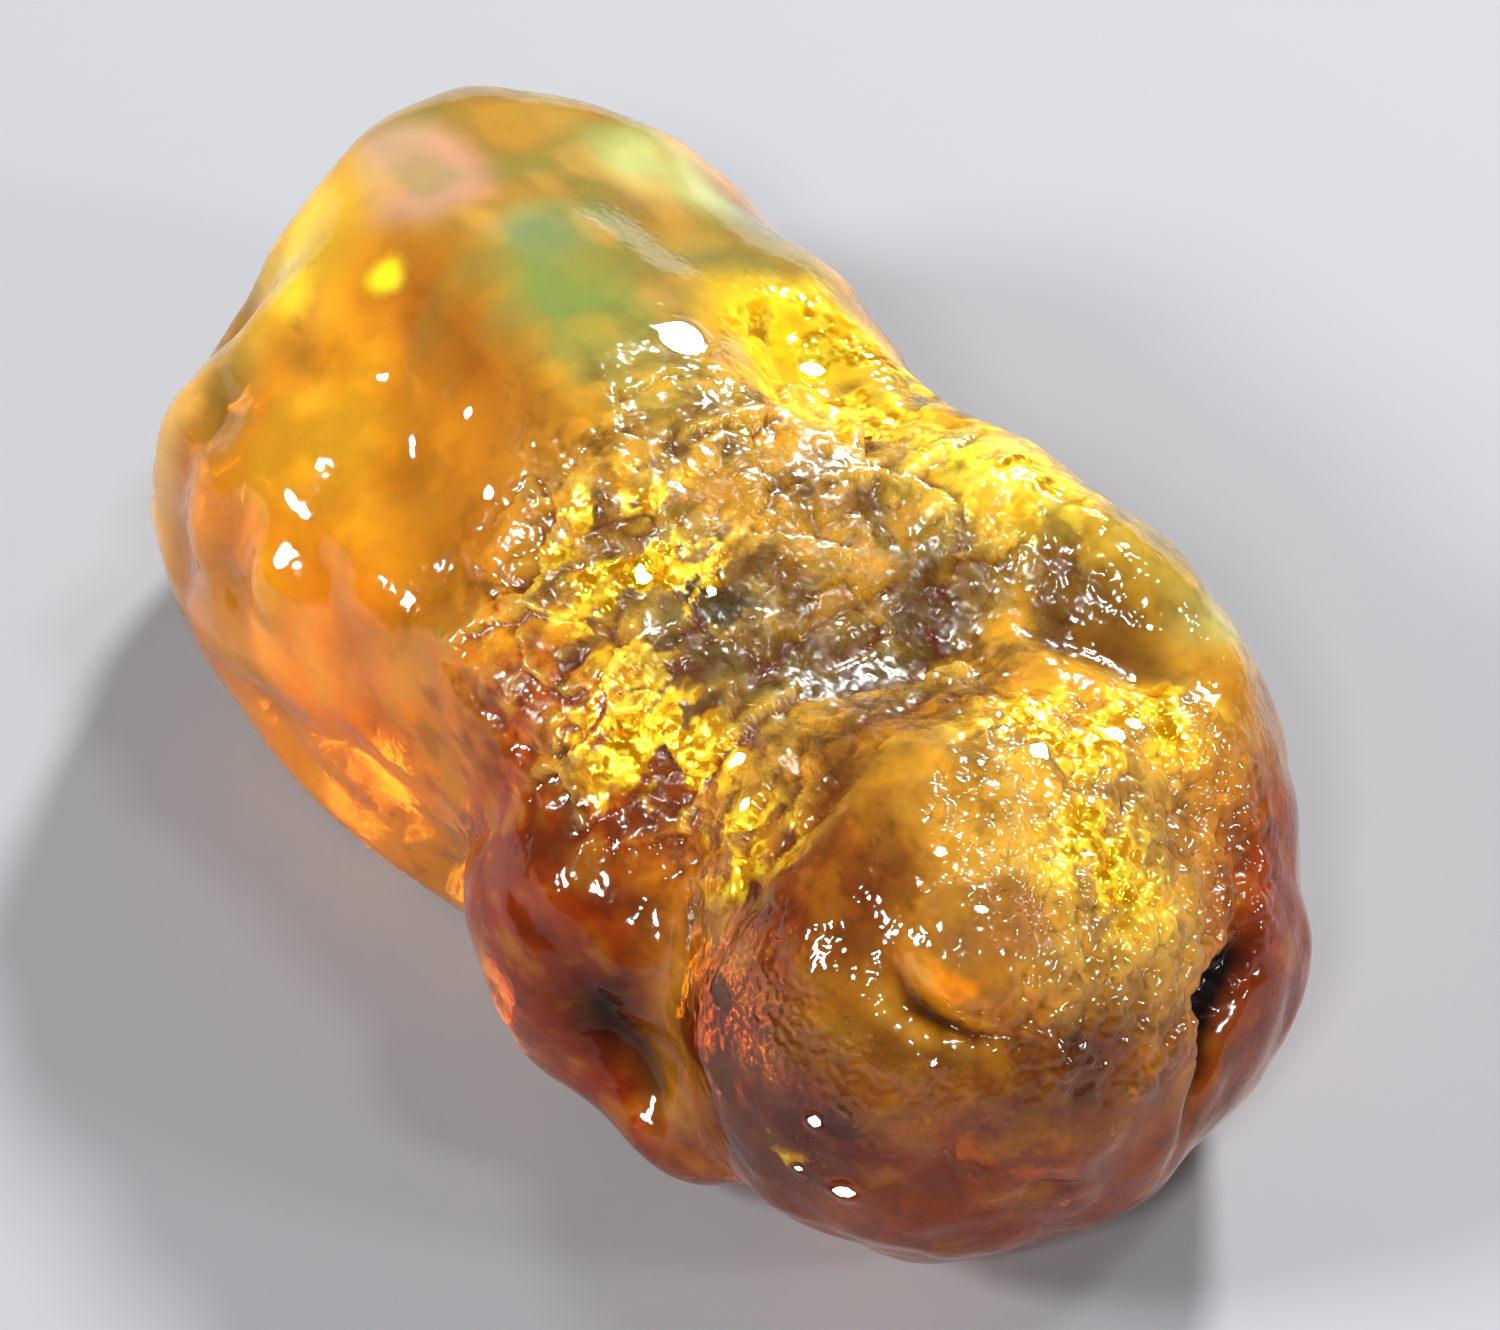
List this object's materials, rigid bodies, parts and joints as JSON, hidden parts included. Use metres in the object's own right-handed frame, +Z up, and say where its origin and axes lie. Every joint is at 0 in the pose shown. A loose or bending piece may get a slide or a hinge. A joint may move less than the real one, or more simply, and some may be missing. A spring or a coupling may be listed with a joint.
{
  "type": "rough amber nugget",
  "caption": "Rough translucent amber nugget: a blocky broken tail, a lumpy waist and a domed head, lying on a flat underside.",
  "frame": {"origin": "middle of the bounding box's footprint, on the plane of the flat underside", "axes": "+X along the nugget's length, from the broken tail towards the domed head; +Z up, away from the flat underside"},
  "size_m": [0.0162, 0.0092, 0.0063],
  "materials": {
    "amber": "wet-looking gloss on a rough, pitted skin",
    "inclusions": "glinting internal cracks and flakes sealed in the amber",
    "debris": "dull dark plant debris sealed in the amber"
  },
  "bodies": {
    "root": {"amber_nugget": "amber"}
  },
  "joints": []
}
